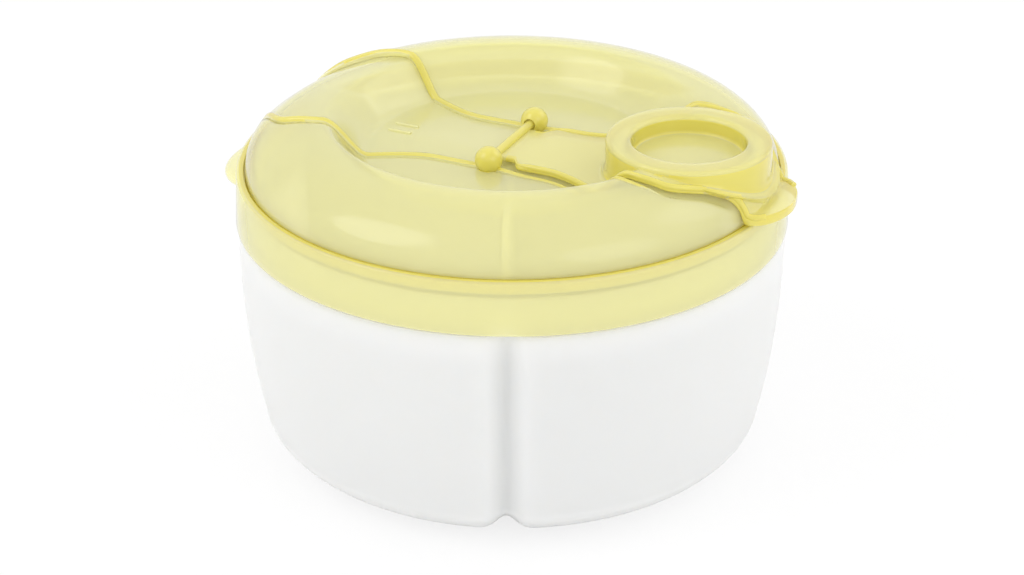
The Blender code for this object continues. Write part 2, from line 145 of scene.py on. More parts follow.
divider = {
    "armThick": 1.4 * mm,
    "postR": 2.4 * mm,
    "play": 0.45 * mm,
    "seat": 0.3 * mm,
    "firstArmDeg": 53.5,
    "arms": 3,
}

rimR = lid["seamR"] - 0.3 * mm
innerRimR = rimR - dome["rimWall"]
dishZ = seamZ + dome["dishRise"]
shoulderZ = skirtZ - 0.3 * mm
ledgeZ = seamZ - lid["ledgeDrop"]
ledgeR = lid["seamR"] - lid["ledgeReach"]
skirtInR = lid["seamR"] - lid["skirtIn"]
neckR = skirtInR - 0.45 * mm
neckTopZ = bowlHigh[2]
neckInR = neckR - bowl["neckWall"]


# ---- small shape tools
def smoothStep(low, high, value):
    share = np.clip((value - low) / (high - low), 0.0, 1.0)
    return share * share * (3.0 - 2.0 * share)


def turnAngles(count):
    return np.linspace(0.0, 2.0 * math.pi, count, endpoint=False)


def meshFrom(name, points, quads, triangles=None):
    # points is an (n, 3) array, quads an (m, 4) array of indices, triangles an (k, 3) array
    loops = [np.asarray(quads).reshape(-1)]
    sizes = [np.full(len(quads), 4)]
    if triangles is not None and len(triangles):
        loops.append(np.asarray(triangles).reshape(-1))
        sizes.append(np.full(len(triangles), 3))
    loops, sizes = np.concatenate(loops), np.concatenate(sizes)
    mesh = bpy.data.meshes.new(name)
    mesh.vertices.add(len(points))
    mesh.vertices.foreach_set("co", np.asarray(points, np.float32).reshape(-1))
    mesh.loops.add(len(loops))
    mesh.loops.foreach_set("vertex_index", loops.astype(np.int32))
    mesh.polygons.add(len(sizes))
    starts = np.concatenate([[0], np.cumsum(sizes)[:-1]])
    mesh.polygons.foreach_set("loop_start", starts.astype(np.int32))
    mesh.update(calc_edges=True)
    mesh.validate()
    thing = bpy.data.objects.new(name, mesh)
    bpy.context.scene.collection.objects.link(thing)
    faceOutwards(thing)
    return thing


def faceOutwards(thing):
    # the signed volume of a closed mesh is negative when it is inside out
    mesh = thing.data
    mesh.calc_loop_triangles()
    co = np.zeros(len(mesh.vertices) * 3, np.float32)
    mesh.vertices.foreach_get("co", co)
    co = co.reshape(-1, 3)
    tri = np.zeros(len(mesh.loop_triangles) * 3, np.int32)
    mesh.loop_triangles.foreach_get("vertices", tri)
    a, b, c = (co[tri.reshape(-1, 3)[:, k]] for k in range(3))
    if float(np.einsum("ij,ij->i", a, np.cross(b, c)).sum()) < 0.0:
        mesh.flip_normals()


def ringSurface(name, rings, poles=True):
    # rings is (k, n, 3). With poles the first and last ring shrink to their mean and close there,
    # and without them the last ring joins the first, as on a tube bent into itself.
    rings = np.asarray(rings)
    count, around = rings.shape[:2]
    points = rings.reshape(-1, 3)
    i = np.arange(around)
    j = (i + 1) % around
    rows = np.arange(count - 1 if poles else count)[:, None]
    a, b = rows * around, ((rows + 1) % count) * around
    quads = np.stack([a + i, a + j, b + j, b + i], -1).reshape(-1, 4)
    if not poles:
        return meshFrom(name, points, quads)
    ends = np.stack([rings[0].mean(0), rings[-1].mean(0)])
    last = (count - 1) * around
    first = np.stack([np.full(around, len(points)), j, i], 1)
    final = np.stack([np.full(around, len(points) + 1), last + i, last + j], 1)
    return meshFrom(name, np.concatenate([points, ends]), quads, np.concatenate([first, final]))


def turned(name, outline, count=192, x=0.0, poles=False):
    # outline is a list of (radius, height), turned about the vertical line through x
    angle = turnAngles(count)
    radius, height = np.asarray(outline, float).T
    rings = np.stack(
        [
            x + radius[:, None] * np.cos(angle),
            radius[:, None] * np.sin(angle),
            height[:, None] + 0.0 * angle,
        ],
        -1,
    )
    return ringSurface(name, rings, poles)


def cylinder(name, radius, low, high, count, x=0.0, core=0.001 * mm):
    # upright, and closed at both ends by a pole inside a tiny core
    outline = [(core, low), (radius, low), (radius, high), (core, high)]
    return turned(name, outline, count, x, poles=True)


def roundCorner(before, corner, after, size, steps=6):
    # replaces a corner of an outline by a quadratic curve that starts and ends size away from it
    p, c, n = (np.asarray(v, float) for v in (before, corner, after))
    start = c + (p - c) / np.linalg.norm(p - c) * size
    end = c + (n - c) / np.linalg.norm(n - c) * size
    t = np.linspace(0.0, 1.0, steps)[:, None]
    return ((1 - t) ** 2 * start + 2 * t * (1 - t) * c + t**2 * end).tolist()


def softOutline(points, sizes):
    # a closed outline whose corner k is rounded by sizes[k]
    out = []
    for k, corner in enumerate(points):
        if sizes[k] > 0:
            out += roundCorner(points[k - 1], corner, points[(k + 1) % len(points)], sizes[k])
        else:
            out.append(list(corner))
    return out


def sweptTube(name, path, radius, sides=12):
    # circles of the given radius, or radii, carried along a path and set square to it
    path = np.asarray(path, float)
    along = np.gradient(path, axis=0)
    along /= np.linalg.norm(along, axis=1)[:, None]
    side = np.cross(along, [0.0, 0.0, 1.0])
    side /= np.linalg.norm(side, axis=1)[:, None]
    up = np.cross(side, along)
    radius = np.broadcast_to(np.asarray(radius, float), (len(path),))[:, None, None]
    turn = turnAngles(sides)[:, None]
    rings = path[:, None] + radius * (np.cos(turn) * side[:, None] + np.sin(turn) * up[:, None])
    return ringSurface(name, rings)


def ball(name, centre, radius, count=48):
    # a sphere as a half circle turned about its own upright axis
    lean = np.linspace(-0.5 * math.pi, 0.5 * math.pi, count // 2 + 1)[1:-1]
    angle = turnAngles(count)
    rings = np.stack(
        [
            centre[0] + radius * np.cos(lean)[:, None] * np.cos(angle),
            centre[1] + radius * np.cos(lean)[:, None] * np.sin(angle),
            centre[2] + radius * np.sin(lean)[:, None] + 0.0 * angle,
        ],
        -1,
    )
    return ringSurface(name, rings)


def combine(thing, operation, tool):
    # one exact Boolean, applied, after which its tool is gone
    step = thing.modifiers.new(operation, "BOOLEAN")
    step.operation = operation
    step.solver = "EXACT"
    step.object = tool
    evaluated = thing.evaluated_get(bpy.context.evaluated_depsgraph_get())
    result = bpy.data.meshes.new_from_object(evaluated)
    thing.modifiers.clear()
    thing.data = result
    bpy.data.objects.remove(tool, do_unlink=True)


def paintShade(thing, test):
    # painted shade: faces whose centres pass the test take the second material, a deeper yellow painted where
    # thick or edge-on plastic looks darker in the light
    count = len(thing.data.polygons)
    centre = np.zeros(count * 3, np.float32)
    thing.data.polygons.foreach_get("center", centre)
    x, y, z = centre.reshape(-1, 3).T.astype(float)
    thing.data.polygons.foreach_set("material_index", test(x, y, z).astype(np.int32))
    thing.data.update()


def finishPiece(thing, body, node, materials, shadeTest=None, sharpDeg=40.0):
    thing.data.materials.clear()
    for material in materials:
        thing.data.materials.append(material)
    # painted shade goes on the faces that the test picks
    if shadeTest is not None:
        paintShade(thing, shadeTest)
    thing.data.shade_smooth()
    thing.data.set_sharp_from_angle(angle=math.radians(sharpDeg))
    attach(thing, body)
    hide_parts(node)
    print(thing.name, "made:", len(thing.data.polygons), "faces")


# ---- the dome's own heights, which the flap and the divider follow too
def bellyHalf(x):
    # half a width: a waist by the ears, a belly round the cap, and narrow again at the rim
    belly = flap["waistHalf"] + (flap["bellyHalf"] - flap["waistHalf"]) * smoothStep(
        0.3 * spout["x"], 0.95 * spout["x"], x
    )
    tail = (flap["lipHalf"] - flap["bellyHalf"]) * smoothStep(1.05 * spout["x"], lid["seamR"] - mm, x)
    return belly + tail


def channelHalf(x):
    return bellyHalf(x) + dome["channelPlay"]


def plainDomeHeight(radius):
    # flat dish, an S up to the crest, then a quarter ellipse down to the rim
    dish = dishZ + (seamZ + dome["rise"] - dishZ) * smoothStep(dome["dishR"], dome["crestR"], radius)
    share = np.clip((radius - dome["crestR"]) / (rimR - dome["crestR"]), 0.0, 1.0)
    return np.where(radius < dome["crestR"], dish, seamZ + dome["rise"] * np.sqrt(1.0 - share**2))


def channelDepth(radius):
    deep = dome["channelDeep"] - dome["channelDishDeep"]
    return dome["channelDishDeep"] + deep * smoothStep(dome["dishR"], dome["crestR"], radius)


def domeHeight(x, y):
    # the plain height, less the channel's depth inside its two S-shaped edges
    radius = np.hypot(x, y)
    inside = 1.0 - smoothStep(0.0, dome["channelEdge"], np.abs(y) - channelHalf(np.abs(x)))
    fade = 1.0 - smoothStep(0.94 * rimR, rimR, radius)
    return plainDomeHeight(radius) - channelDepth(radius) * inside * fade


def undersideHeight(radius):
    low, high = dishZ - dome["wall"], seamZ + dome["rise"] - dome["wall"]
    dish = low + (high - low) * smoothStep(dome["dishR"] - 0.6 * dome["wall"], dome["crestR"], radius)
    share = np.clip((radius - dome["crestR"]) / (innerRimR - dome["crestR"]), 0.0, 1.0)
    return np.where(radius < dome["crestR"], dish, seamZ + (high - seamZ) * np.sqrt(1.0 - share**2))


# ---- pieces
def makeDome(materials):
    angle = turnAngles(dome["turns"])
    cos, sin = np.cos(angle), np.sin(angle)
    crest, dish = dome["crestR"], dome["dishR"]
    outR = np.concatenate(
        [
            np.linspace(0.04 * dish, dish, 40),
            np.linspace(dish, crest, 22)[1:],
            crest + (rimR - crest) * np.sin(np.linspace(0.0, 0.5 * math.pi, 36)[1:]),
        ]
    )[:, None]
    x, y = outR * cos, outR * sin
    top = np.stack([x, y, domeHeight(x, y)], -1)
    flangeR = lid["seamR"] + lid["grooveDeep"] - 0.3 * mm
    flangeZ = seamZ - lid["lipHeight"] - 0.3 * mm
    foot = np.array(
        [
            (rimR, flangeZ + 0.15 * mm), (rimR + 0.1 * mm, flangeZ), (flangeR - 0.1 * mm, flangeZ),
            (flangeR, flangeZ - 0.1 * mm), (flangeR, domeLow[2] + 0.2 * mm), (flangeR - 0.2 * mm, domeLow[2]),
            (innerRimR + 0.2 * mm, domeLow[2]), (innerRimR, domeLow[2] + 0.2 * mm), (innerRimR, seamZ),
        ]
    )
    foot = np.stack([foot[:, :1] * cos, foot[:, :1] * sin, foot[:, 1:] + 0.0 * angle], -1)
    inR = np.concatenate(
        [
            crest + (innerRimR - crest) * np.sin(np.linspace(0.5 * math.pi, 0.0, 24)[1:]),
            np.linspace(crest, dish - 0.6 * dome["wall"], 18)[1:],
            np.linspace(dish - 0.6 * dome["wall"], 0.05 * dish, 8)[1:],
        ]
    )[:, None]
    under = np.stack([inR * cos, inR * sin, undersideHeight(inR) + 0.0 * angle], -1)
    piece = ringSurface("domeShell", np.concatenate([top, foot, under]))

    # the spout tube stands on the middle of the wall, so its foot follows the wall round the hole
    turn = turnAngles(144)
    outer = spout["inR"] + spout["wall"]
    half = 0.5 * spout["wall"]
    footR = spout["inR"] - spout["footIn"]
    middle = 0.5 * (footR + outer)
    tubeRings = []
    for radius in (footR, outer):
        tx, ty = spout["x"] + radius * np.cos(turn), radius * np.sin(turn)
        footZ = 0.5 * (domeHeight(tx, ty) + undersideHeight(np.hypot(tx, ty)))
        tubeRings.append(np.stack([tx, ty, footZ], -1))
    for k in np.linspace(0.0, math.pi, 9):
        radius = middle + (outer - middle) * np.cos(k)
        z = spout["topZ"] - half + half * np.sin(k)
        tubeRings.append(
            np.stack([spout["x"] + radius * np.cos(turn), radius * np.sin(turn), z + 0.0 * turn], -1)
        )
    combine(piece, "UNION", ringSurface("spoutTube", tubeRings, poles=False))

    # thin rounded ridges run along both edges of the channel, over the ears
    for side in (-1.0, 1.0):
        px = np.linspace(-0.985 * rimR, 0.88 * rimR, 170)
        reach = channelHalf(np.abs(px)) + dome["ridgeOut"] * smoothStep(0.0, 9 * mm, px)
        py = side * reach
        radius = np.hypot(px, py)
        keep = radius < 0.992 * rimR
        px, py, radius = px[keep], py[keep], radius[keep]
        pz = plainDomeHeight(radius) - dome["ridgeSunk"]
        fade = smoothStep(px.min(), px.min() + 6 * mm, px) * (1.0 - smoothStep(0.6 * rimR, px.max(), px))
        thick = dome["ridgeRadius"] * (0.35 + 0.65 * fade) * (1.0 - 0.35 * smoothStep(0.0, 12 * mm, px))
        sunk = pz - 0.5 * mm * (1.0 - fade)
        combine(piece, "UNION", sweptTube("ridge", np.stack([px, py, sunk], -1), thick))
        combine(piece, "UNION", ball("ear", (0.0, side * dome["earY"], hingeZ), dome["earRadius"]))
    holeZ, holeTop = seamZ - 0.5 * mm, flapHigh[2] + 2 * mm
    combine(piece, "DIFFERENCE", cylinder("hole", spout["inR"], holeZ, holeTop, 144, spout["x"]))
    bore = np.linspace(-1.0, 1.0, 9)[:, None] * [0.0, flap["barHalf"] + 0.35 * mm, 0.0] + [0.0, 0.0, hingeZ]
    combine(piece, "DIFFERENCE", sweptTube("bore", bore, flap["barRadius"] + 0.35 * mm, 24))
    # two short raised lines in the dish, behind the hinge
    for side in (-1.0, 1.0):
        run = np.linspace(dome["catchFrom"], dome["catchTo"], 12)
        path = np.stack([run, 0 * run + side * dome["catchY"], domeHeight(run, side * dome["catchY"])], -1)
        combine(piece, "UNION", sweptTube("catch", path, dome["catchRadius"]))

    # painted shade: the channel's ridges, the ears and the rim under the seam take the darker yellow
    def deep(x, y, z):
        radius = np.hypot(x, y)
        proud = z - plainDomeHeight(np.minimum(radius, rimR * 0.999)) > 0.06 * mm
        beside = np.abs(np.abs(y) - channelHalf(np.abs(x))) < 2.2 * mm
        ear = np.hypot(np.hypot(x, np.abs(y) - dome["earY"]), z - hingeZ) < dome["earRadius"] + 0.1 * mm
        rim = (z < seamZ - 0.2 * mm) & (radius > innerRimR + 0.3 * mm)
        return (proud & beside & (radius < 0.97 * rimR)) | ear | rim

    finishPiece(piece, "dome", "dome", materials, deep)


def flapHalf(x):
    # the plate's half width along its length, down to the rounded tip of the lip
    width = bellyHalf(x)
    ear = dome["earRadius"]
    width = flap["rootHalf"] + (width - flap["rootHalf"]) * smoothStep(ear + 0.6 * mm, 2.2 * ear, x)
    reach = flap["tipX"] - lid["seamR"]
    tip = np.sqrt(np.clip(1.0 - (np.clip(x - lid["seamR"], 0.0, reach) / reach) ** 2, 0.0, 1.0))
    return width * np.where(x > lid["seamR"], tip, 1.0)


def flapUnder(x, y):
    # the room over the dome's channel, and level past the rim
    radius = np.hypot(x, y)
    room = rimR + flap["gap"] - dome["crestR"]
    share = np.clip((radius - dome["crestR"]) / room, 0.0, 1.0)
    rise = dome["rise"] - dome["channelDeep"] + flap["gap"]
    side = seamZ + rise * np.sqrt(1.0 - share**2)
    dish = plainDomeHeight(radius) - channelDepth(radius) + flap["gap"]
    return np.maximum(np.where(radius < dome["crestR"], dish, side), flapLow[2])


def flapTop(x, y):
    radius = np.hypot(x, y)
    room = rimR + flap["gap"] + flap["thick"] - dome["crestR"]
    share = np.clip((radius - dome["crestR"]) / room, 0.0, 1.0)
    rise = dome["rise"] - dome["channelDeep"] + flap["gap"] + flap["thick"]
    side = seamZ + rise * np.sqrt(1.0 - share**2)
    dish = plainDomeHeight(radius) - channelDepth(radius) + flap["gap"] + flap["thick"]
    height = np.where(radius < dome["crestR"], dish, side)
    lipTop = flapLow[2] + flap["lipThick"]
    blend = 0.5 * (height + lipTop + np.sqrt((height - lipTop) ** 2 + (0.5 * mm) ** 2))
    return blend


def makeFlap(materials):
    # the plate is a loop round its own section: top from side to side, a round edge, the underside back
    reach = np.concatenate(
        [
            np.linspace(0.0, 0.9 * dome["dishR"], 50),
            np.linspace(0.9 * dome["dishR"], lid["seamR"], 70)[1:],
            lid["seamR"] + (flap["tipX"] - lid["seamR"]) * np.sin(np.linspace(0.0, 0.497 * math.pi, 22))[1:],
        ]
    )[:, None]
    edge = 0.5 * flap["thick"]
    bend = np.linspace(0.5 * math.pi, -0.5 * math.pi, 9)
    flat = np.linspace(-1.0, 1.0, 61)
    half = flapHalf(reach)
    core = np.maximum(half - edge, 0.02 * mm)
    share = np.concatenate([flat, np.ones(7), flat[::-1], -np.ones(7)])
    out = np.concatenate([0 * flat, np.cos(bend[1:-1]), 0 * flat, -np.cos(bend[1:-1])])
    up = np.concatenate([np.ones(61), np.sin(bend[1:-1]), -np.ones(61), -np.sin(bend[1:-1])])
    y = core * share + np.minimum(edge, half) * out
    x = reach + 0.0 * y
    low, high = flapUnder(x, core * share), flapTop(x, core * share)
    z = 0.5 * (low + high) + 0.5 * (high - low) * up
    piece = ringSurface("pouringFlap", np.stack([x, y, z], -1))

    wellR = flap["capR"] - 0.5 * flap["capWall"]
    well = cylinder("well", wellR, seamZ - 2 * mm, seamZ + 20 * mm, 180, spout["x"])
    combine(piece, "DIFFERENCE", well)

    # the cap: rounded rim, recess with a thin floor, plug wall, and a foot that follows the plate
    turn = turnAngles(180)
    capTop, capR, recessR = flap["capTopZ"], flap["capR"], flap["recessR"]
    capIn = capR - flap["capWall"]
    plugOut = recessR + flap["plugWall"]
    recessZ = capTop - flap["recessDeep"]
    plugZ = recessZ - flap["recessFloor"]
    slotTop = capTop - flap["capTopThick"]
    rings = []

    def addRing(radius, z):
        ringX, ringY = spout["x"] + radius * np.cos(turn), radius * np.sin(turn)
        rings.append(np.stack([ringX, ringY, z + 0.0 * turn], -1))

    inner = softOutline(
        [
            (0.3 * mm, plugZ),
            (plugOut, plugZ),
            (plugOut, slotTop),
            (capIn, slotTop),
            (capIn, slotTop - 2 * mm),
        ],
        [0, 0.4 * mm, 0.3 * mm, 0.3 * mm, 0],
    )
    for radius, z in inner:
        addRing(radius, z)
    wallX, wallY = spout["x"] + capIn * np.cos(turn), capIn * np.sin(turn)
    footIn = flapUnder(wallX, wallY) + 0.03 * mm
    addRing(capIn, footIn)
    outX, outY = spout["x"] + capR * np.cos(turn), capR * np.sin(turn)
    footOut = flapUnder(outX, outY) + 0.03 * mm
    addRing(capR, footOut)
    plateTop = flapTop(outX, outY)
    wallTop = capTop - flap["capRound"]
    # the flare leaves the wall and meets the plate with a quarter of an ellipse
    room = np.clip((wallTop - plateTop) / 2.2, 0.03 * mm, flap["flare"])
    leans = np.linspace(0.0, 0.5 * math.pi, 8)
    for k, lean in enumerate(leans):
        rise = plateTop - 0.1 * mm + 1.4 * room * (1.0 - np.cos(lean))
        addRing(capR + room * (1.0 - np.sin(lean)), np.minimum(rise, wallTop - 0.02 * mm * (len(leans) - k)))
    rim = softOutline(
        [(capR, wallTop), (capR, capTop), (recessR, capTop), (recessR, recessZ), (0.3 * mm, recessZ)],
        [0, flap["capRound"], 1.3 * mm, 0.9 * mm, 0],
    )
    for radius, z in rim:
        addRing(radius, z)
    combine(piece, "UNION", ringSurface("cap", rings))
    # a rounded bead runs along each side from the root to the lip
    for side in (-1.0, 1.0):
        straight = np.linspace(flap["beadFrom"], lid["seamR"], 90)
        run = np.concatenate([straight, lid["seamR"] + mm * np.arange(1.0, 4.0)])
        beadY = side * (flapHalf(run) - flap["beadIn"])
        beadZ = flapTop(run, beadY) - flap["beadSunk"]
        thick = flap["beadRadius"] * (0.4 + 0.6 * smoothStep(flap["beadFrom"], 9 * mm, run))
        combine(piece, "UNION", sweptTube("bead", np.stack([run, beadY, beadZ], -1), thick))
    bar = np.linspace(-1.0, 1.0, 13)[:, None] * [0.0, flap["barHalf"], 0.0] + [0.0, 0.0, hingeZ]
    combine(piece, "UNION", sweptTube("bar", bar, flap["barRadius"], 32))

    # painted shade: the hinge bar, the plate's side edges and the cap and recess walls take the darker yellow
    def deep(x, y, z):
        bar = np.hypot(x, z - hingeZ) < flap["barRadius"] + 0.05 * mm
        outside = np.hypot(x - spout["x"], y) > flap["capR"] + 0.5 * mm
        edge = (np.abs(y) > flapHalf(x) - 1.15 * mm) & outside & (x > 2 * mm)
        away = np.hypot(x - spout["x"], y)
        walls = (np.abs(away - flap["capR"]) < 0.3 * mm) | (np.abs(away - flap["recessR"]) < 0.4 * mm)
        return bar | edge | (walls & (z < flap["capTopZ"] - mm))

    finishPiece(piece, "flap", "flap", materials, deep)


def makeLidRing(materials):
    seamR, outTop, outLow = lid["seamR"], lid["seamR"] + lid["skirtTopOut"], lid["seamR"] + lid["skirtLowOut"]
    grooveR = seamR + lid["grooveDeep"]
    low = ledgeZ - lid["ledgeThick"]
    lipZ = seamZ - lid["lipHeight"]
    r = lid["edgeRound"]
    outline = softOutline(
        [
            (outLow, skirtZ), (outTop, seamZ), (seamR, seamZ), (seamR, lipZ), (grooveR, lipZ),
            (grooveR, ledgeZ), (ledgeR, ledgeZ), (ledgeR, low), (skirtInR, low), (skirtInR, skirtZ),
        ],
        [r, 1.3 * r, 0.15 * mm, 0.1 * mm, 0, 0.1 * mm, 0.25 * mm, 0.25 * mm, 0.3 * mm, 0.3 * mm],
    )
    piece = turned("lidRing", outline, 360)
    # the tab: for each direction a flat loop from the skirt out to the edge, round at its tip
    turn = np.linspace(-0.999, 0.999, 81)[:, None]
    angle = math.pi + np.radians(lid["tabHalfDeg"]) * turn
    root = 0.5 * (skirtInR + outLow)
    reach = outLow - root + lid["tabReach"] * np.sqrt(1.0 - np.abs(turn) ** 2.2)
    lean = np.linspace(-0.5 * math.pi, 0.5 * math.pi, 13)
    half = 0.5 * lid["tabThick"]
    tip = np.minimum(half, 0.5 * reach)
    radius = np.concatenate([root + 0 * turn, root + reach - tip + tip * np.cos(lean), root + 0 * turn], 1)
    height = skirtZ + half + half * np.concatenate([[-1.0], np.sin(lean), [1.0]]) + 0 * turn
    rings = np.stack([radius * np.cos(angle), radius * np.sin(angle), height], -1)
    combine(piece, "UNION", ringSurface("tab", rings))

    # painted shade: the lip and groove round the seam take the darker yellow as a dark seam line
    def deep(x, y, z):
        radius = np.hypot(x, y)
        return (z > ledgeZ + 0.1 * mm) & (radius < grooveR + 0.05 * mm)

    finishPiece(piece, "lid_ring", "lid_ring", materials, deep)


def bowlOutline(foot=14, corner=26, side=34):
    # radius, height, inward normal and share of the furrow, from under the foot up to the shoulder
    lowR = bowl["topR"] - bowl["taper"]
    footR = np.linspace(0.03 * bowl["furrowStartR"], lowR - bowl["cornerW"], foot)
    t = np.linspace(0.0, 0.5 * math.pi, corner)[1:]
    share = np.linspace(1.0, 0.0, side)[1:]
    cornerR = lowR - bowl["cornerW"] * (1.0 - np.sin(t))
    sideR = bowl["topR"] - bowl["taper"] * share ** bowl["taperPower"]
    radius = np.concatenate([footR, cornerR, sideR])
    height = np.concatenate(
        [
            0 * footR,
            bowl["cornerH"] * (1.0 - np.cos(t)),
            shoulderZ - (shoulderZ - bowl["cornerH"]) * share,
        ]
    )
    normalR = np.concatenate([0 * footR, -np.sin(t) * bowl["cornerH"], 0 * share - 1.0])
    normalZ = np.concatenate([0 * footR + 1.0, np.cos(t) * bowl["cornerW"], 0 * share])
    size = np.hypot(normalR, normalZ)
    strength = np.where(height == 0.0, smoothStep(bowl["furrowStartR"], bowl["furrowFullR"], radius), 1.0)
    fade = smoothStep(0.8 * shoulderZ, shoulderZ, height)
    strength = strength * (1.0 - (1.0 - bowl["furrowTopShare"]) * fade)
    return radius, height, normalR / size, normalZ / size, strength


def furrow(angle, radius):
    # a bell curve round the wall at each arm of the divider
    total = 0.0
    for k in range(divider["arms"]):
        away = angle - math.radians(divider["firstArmDeg"] + 360.0 / divider["arms"] * k)
        away = (away + math.pi) % (2.0 * math.pi) - math.pi
        total = total + np.exp(-((away * radius / bowl["furrowSpread"]) ** 2))
    return total


def makeBowl(materials):
    angle = turnAngles(bowl["turns"])
    radius, height, normalR, normalZ, strength = (v[:, None] for v in bowlOutline())
    push = bowl["furrowDeep"] * strength * furrow(angle, np.maximum(radius, bowl["furrowStartR"]))
    cos, sin = np.cos(angle), np.sin(angle)

    def shell(offset, keep):
        r = (radius + normalR * (push + offset))[keep]
        z = (height + normalZ * (push + offset))[keep]
        return np.stack([r * cos, r * sin, z], -1)

    inside = height[:, 0] < 0.9 * shoulderZ
    neck = np.array(
        softOutline(
            [(neckR, shoulderZ), (neckR, neckTopZ), (neckInR, neckTopZ), (neckInR, shoulderZ)],
            [0, 0.5 * mm, 0.5 * mm, 0],
        )
    )
    neck = np.stack([neck[:, :1] * cos, neck[:, :1] * sin, neck[:, 1:] + 0 * angle], -1)
    rings = np.concatenate([shell(0.0, np.ones(len(inside), bool)), neck, shell(bowl["wall"], inside)[::-1]])
    piece = ringSurface("milkyBowl", rings)
    finishPiece(piece, "bowl", "bowl", materials)


def makeDivider(materials):
    # each arm is an outline that follows the bowl's inside and the dome's underside, made solid
    radius, height, normalR, normalZ, strength = bowlOutline(8, 14, 12)
    keep = height < 0.9 * shoulderZ
    play = np.where(height == 0.0, divider["seat"], divider["play"])
    push = bowl["furrowDeep"] * strength + bowl["wall"] + play
    wallR = np.minimum(radius + normalR * push, neckInR - divider["play"])[keep]
    wallZ = (height + normalZ * push)[keep]
    topR = ledgeR - divider["play"] - divider["seat"]
    crest, dishEdge = dome["crestR"], dome["dishR"] - dome["wall"]
    roofR = np.concatenate([np.linspace(topR, crest, 14), np.linspace(crest, dishEdge, 14)[1:]])
    plugZ = flap["capTopZ"] - flap["recessDeep"] - flap["recessFloor"]
    roofZ = np.minimum(undersideHeight(roofR), plugZ) - divider["play"]
    outR = np.concatenate([[0.0], wallR, [wallR[-1], topR], roofR, [0.0]])
    floorZ = bowl["wall"] + divider["seat"]
    outZ = np.concatenate([[floorZ], wallZ, [neckTopZ - 4 * mm, neckTopZ - mm], roofZ, [roofZ[-1]]])
    count = len(outR)
    piece = None
    for k in range(divider["arms"]):
        a = math.radians(divider["firstArmDeg"] + 360.0 / divider["arms"] * k)
        half = 0.5 * divider["armThick"]
        sides = []
        for s in (-1.0, 1.0):
            armX = outR * math.cos(a) - s * half * math.sin(a)
            armY = outR * math.sin(a) + s * half * math.cos(a)
            sides.append(np.stack([armX, armY, outZ], -1))
        mesh = bpy.data.meshes.new("arm")
        faces = [tuple(range(count)), tuple(range(2 * count - 1, count - 1, -1))]
        faces += [(i, (i + 1) % count, count + (i + 1) % count, count + i) for i in range(count)]
        mesh.from_pydata(np.concatenate(sides).tolist(), [], faces)
        arm = bpy.data.objects.new("dividerInsert", mesh)
        bpy.context.scene.collection.objects.link(arm)
        faceOutwards(arm)
        if piece is None:
            piece = arm
        else:
            combine(piece, "UNION", arm)
    post = cylinder("post", divider["postR"], floorZ, float(roofZ[-1]), 64, core=0.1 * mm)
    combine(piece, "UNION", post)
    soften = piece.modifiers.new("soften", "BEVEL")
    soften.width = 0.35 * mm
    soften.segments = 2
    soften.limit_method = "ANGLE"
    soften.angle_limit = math.radians(50.0)
    finishPiece(piece, "divider", "divider", materials)


# ---- materials
def mouldedFinishGroup():
    # soft waves from moulding, a fine grain, and haze: all from two noises of the object's own position
    group = bpy.data.node_groups.new("mouldedFinish", "ShaderNodeTree")
    sockets = group.interface
    sockets.new_socket("Vector", in_out="INPUT", socket_type="NodeSocketVector")
    scales = (("Wave Scale", 60.0), ("Grain Scale", 1500.0), ("Rough Low", 0.1), ("Rough High", 0.2))
    for name, value in scales:
        sockets.new_socket(name, in_out="INPUT", socket_type="NodeSocketFloat").default_value = value
    sockets.new_socket("Grain Share", in_out="INPUT", socket_type="NodeSocketFloat").default_value = 0.15
    sockets.new_socket("Roughness", in_out="OUTPUT", socket_type="NodeSocketFloat")
    sockets.new_socket("Height", in_out="OUTPUT", socket_type="NodeSocketFloat")
    nodes, links = group.nodes, group.links
    start, end = nodes.new("NodeGroupInput"), nodes.new("NodeGroupOutput")
    wave, grain = nodes.new("ShaderNodeTexNoise"), nodes.new("ShaderNodeTexNoise")
    wave.inputs["Detail"].default_value = 2.0
    grain.inputs["Detail"].default_value = 1.0
    spread, mix = nodes.new("ShaderNodeMapRange"), nodes.new("ShaderNodeMix")
    spread.inputs["From Min"].default_value, spread.inputs["From Max"].default_value = 0.3, 0.7
    for noise, scale in ((wave, "Wave Scale"), (grain, "Grain Scale")):
        links.new(start.outputs["Vector"], noise.inputs["Vector"])
        links.new(start.outputs[scale], noise.inputs["Scale"])
    links.new(wave.outputs[0], spread.inputs["Value"])
    links.new(start.outputs["Rough Low"], spread.inputs["To Min"])
    links.new(start.outputs["Rough High"], spread.inputs["To Max"])
    links.new(start.outputs["Grain Share"], mix.inputs[0])
    links.new(wave.outputs[0], mix.inputs[2])
    links.new(grain.outputs[0], mix.inputs[3])
    links.new(spread.outputs[0], end.inputs["Roughness"])
    links.new(mix.outputs[0], end.inputs["Height"])
    return group


def dressMaterial(name, group, look):
    material = bpy.data.materials.new(name)
    material.use_nodes = True
    nodes, links = material.node_tree.nodes, material.node_tree.links
    shader = nodes["Principled BSDF"]
    shader.inputs["Base Color"].default_value = (*look["colour"], 1.0)
    shader.inputs["IOR"].default_value = look["ior"]
    shader.inputs["Metallic"].default_value = 0.0
    finish = nodes.new("ShaderNodeGroup")
    finish.node_tree = group
    where = nodes.new("ShaderNodeTexCoord")
    links.new(where.outputs["Object"], finish.inputs["Vector"])
    keys = {"Wave Scale": "wave", "Grain Scale": "grain", "Rough Low": "roughLow", "Rough High": "roughHigh"}
    for socket, key in keys.items():
        finish.inputs[socket].default_value = look[key]
    links.new(finish.outputs["Roughness"], shader.inputs["Roughness"])
    bump = nodes.new("ShaderNodeBump")
    bump.inputs["Strength"].default_value = look["bump"]
    bump.inputs["Distance"].default_value = look["bumpHeight"]
    links.new(finish.outputs["Height"], bump.inputs["Height"])
    links.new(bump.outputs["Normal"], shader.inputs["Normal"])
    return material, shader


